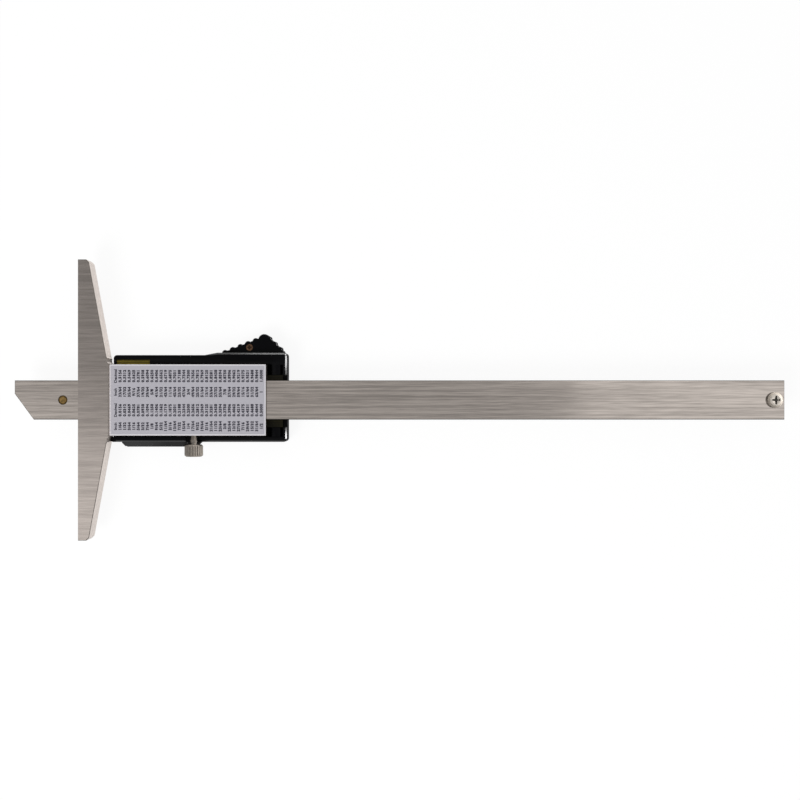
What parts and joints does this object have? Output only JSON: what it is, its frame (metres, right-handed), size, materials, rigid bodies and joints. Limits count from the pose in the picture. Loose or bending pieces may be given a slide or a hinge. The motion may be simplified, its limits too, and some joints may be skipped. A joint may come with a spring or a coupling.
{
  "type": "depth caliper",
  "caption": "Electronic depth caliper: wide steel measuring base, sliding beam with slanted tip, black housing with display, keys, thumb grip and lock screw.",
  "frame": {"origin": "centre of the base's measuring face, on the beam's centreline and at half its thickness", "axes": "+X along the beam away from the measuring face, Y along the base, +Z towards the back with the conversion label; the instrument lies on the front face of its housing"},
  "size_m": [0.2753, 0.1, 0.014],
  "materials": {
    "ground_steel": "ground and brushed stainless steel",
    "screw_steel": "turned stainless steel",
    "knurled_steel": "turned and knurled, nickel plated",
    "black_plastic": "moulded ABS, fine satin grain",
    "key_plastic": "moulded ABS keys",
    "label_film": "printed polyester film",
    "pin_brass": "machined brass, dulled",
    "gib_brass": "bronze strip",
    "screw_brass": "brass-plated screw",
    "board_green": "solder mask on glass fibre",
    "chip_black": "moulded epoxy",
    "spring_metal": "nickel-plated spring steel",
    "display_glass": "liquid crystal cell, switched off",
    "window_glass": "clear acrylic",
    "connector_rubber": "layered conductive silicone",
    "cell_steel": "nickel-plated steel can",
    "scale_board": "glass fibre scale with copper pattern",
    "scale_print": "printed polyester film"
  },
  "bodies": {
    "head": {"base_and_slider": "ground_steel", "gib_strip": "gib_brass", "gib_screws": "screw_steel", "housing_screws": "screw_steel", "conversion_label": "label_film", "front_housing": "black_plastic", "thumb_grip": "black_plastic", "grip_screw": "screw_brass", "circuit_board": "board_green", "controller_chip": "chip_black", "dome_contacts": "spring_metal", "lcd_glass": "display_glass", "lcd_connector": "connector_rubber", "lcd_window": "window_glass", "battery_cell": "cell_steel", "contact_minus": "spring_metal", "contact_plus": "spring_metal"},
    "beam": {"beam_blade": "ground_steel", "scale_strip": "scale_board", "scale_film": "scale_print", "tip_pin": "pin_brass", "stop_screw": "screw_steel"},
    "lock_screw": {"lock_screw": "knurled_steel"},
    "button_on_off": {"button_on_off": "key_plastic"},
    "button_zero": {"button_zero": "key_plastic"},
    "button_unit": {"button_unit": "key_plastic"},
    "battery_cover": {"battery_cover": "black_plastic"},
    "port_cover": {"data_port_cover": "black_plastic"}
  },
  "joints": [
    {"name": "beam_slide", "type": "slide", "parent": "head", "child": "beam", "axis": [-1, 0, 0], "range_m": [-0.0233, 0.178]},
    {"name": "lock_screw_turn", "type": "hinge", "parent": "head", "child": "lock_screw", "pos_m": [0.0405, -0.018, 0], "axis": [0, 1, 0], "range_deg": [-360, 90]},
    {"name": "battery_cover_slide", "type": "slide", "parent": "head", "child": "battery_cover", "axis": [1, 0, 0], "range_m": [0, 0.02]},
    {"name": "port_cover_slide", "type": "slide", "parent": "head", "child": "port_cover", "axis": [1, 0, 0], "range_m": [0, 0.0215]},
    {"name": "button_on_off_press", "type": "slide", "parent": "head", "child": "button_on_off", "axis": [0, 0, 1], "range_m": [0, 0.00035], "stiffness_N_per_m": 2000},
    {"name": "button_zero_press", "type": "slide", "parent": "head", "child": "button_zero", "axis": [0, 0, 1], "range_m": [0, 0.00035], "stiffness_N_per_m": 2000},
    {"name": "button_unit_press", "type": "slide", "parent": "head", "child": "button_unit", "axis": [0, 0, 1], "range_m": [0, 0.00035], "stiffness_N_per_m": 2000}
  ]
}
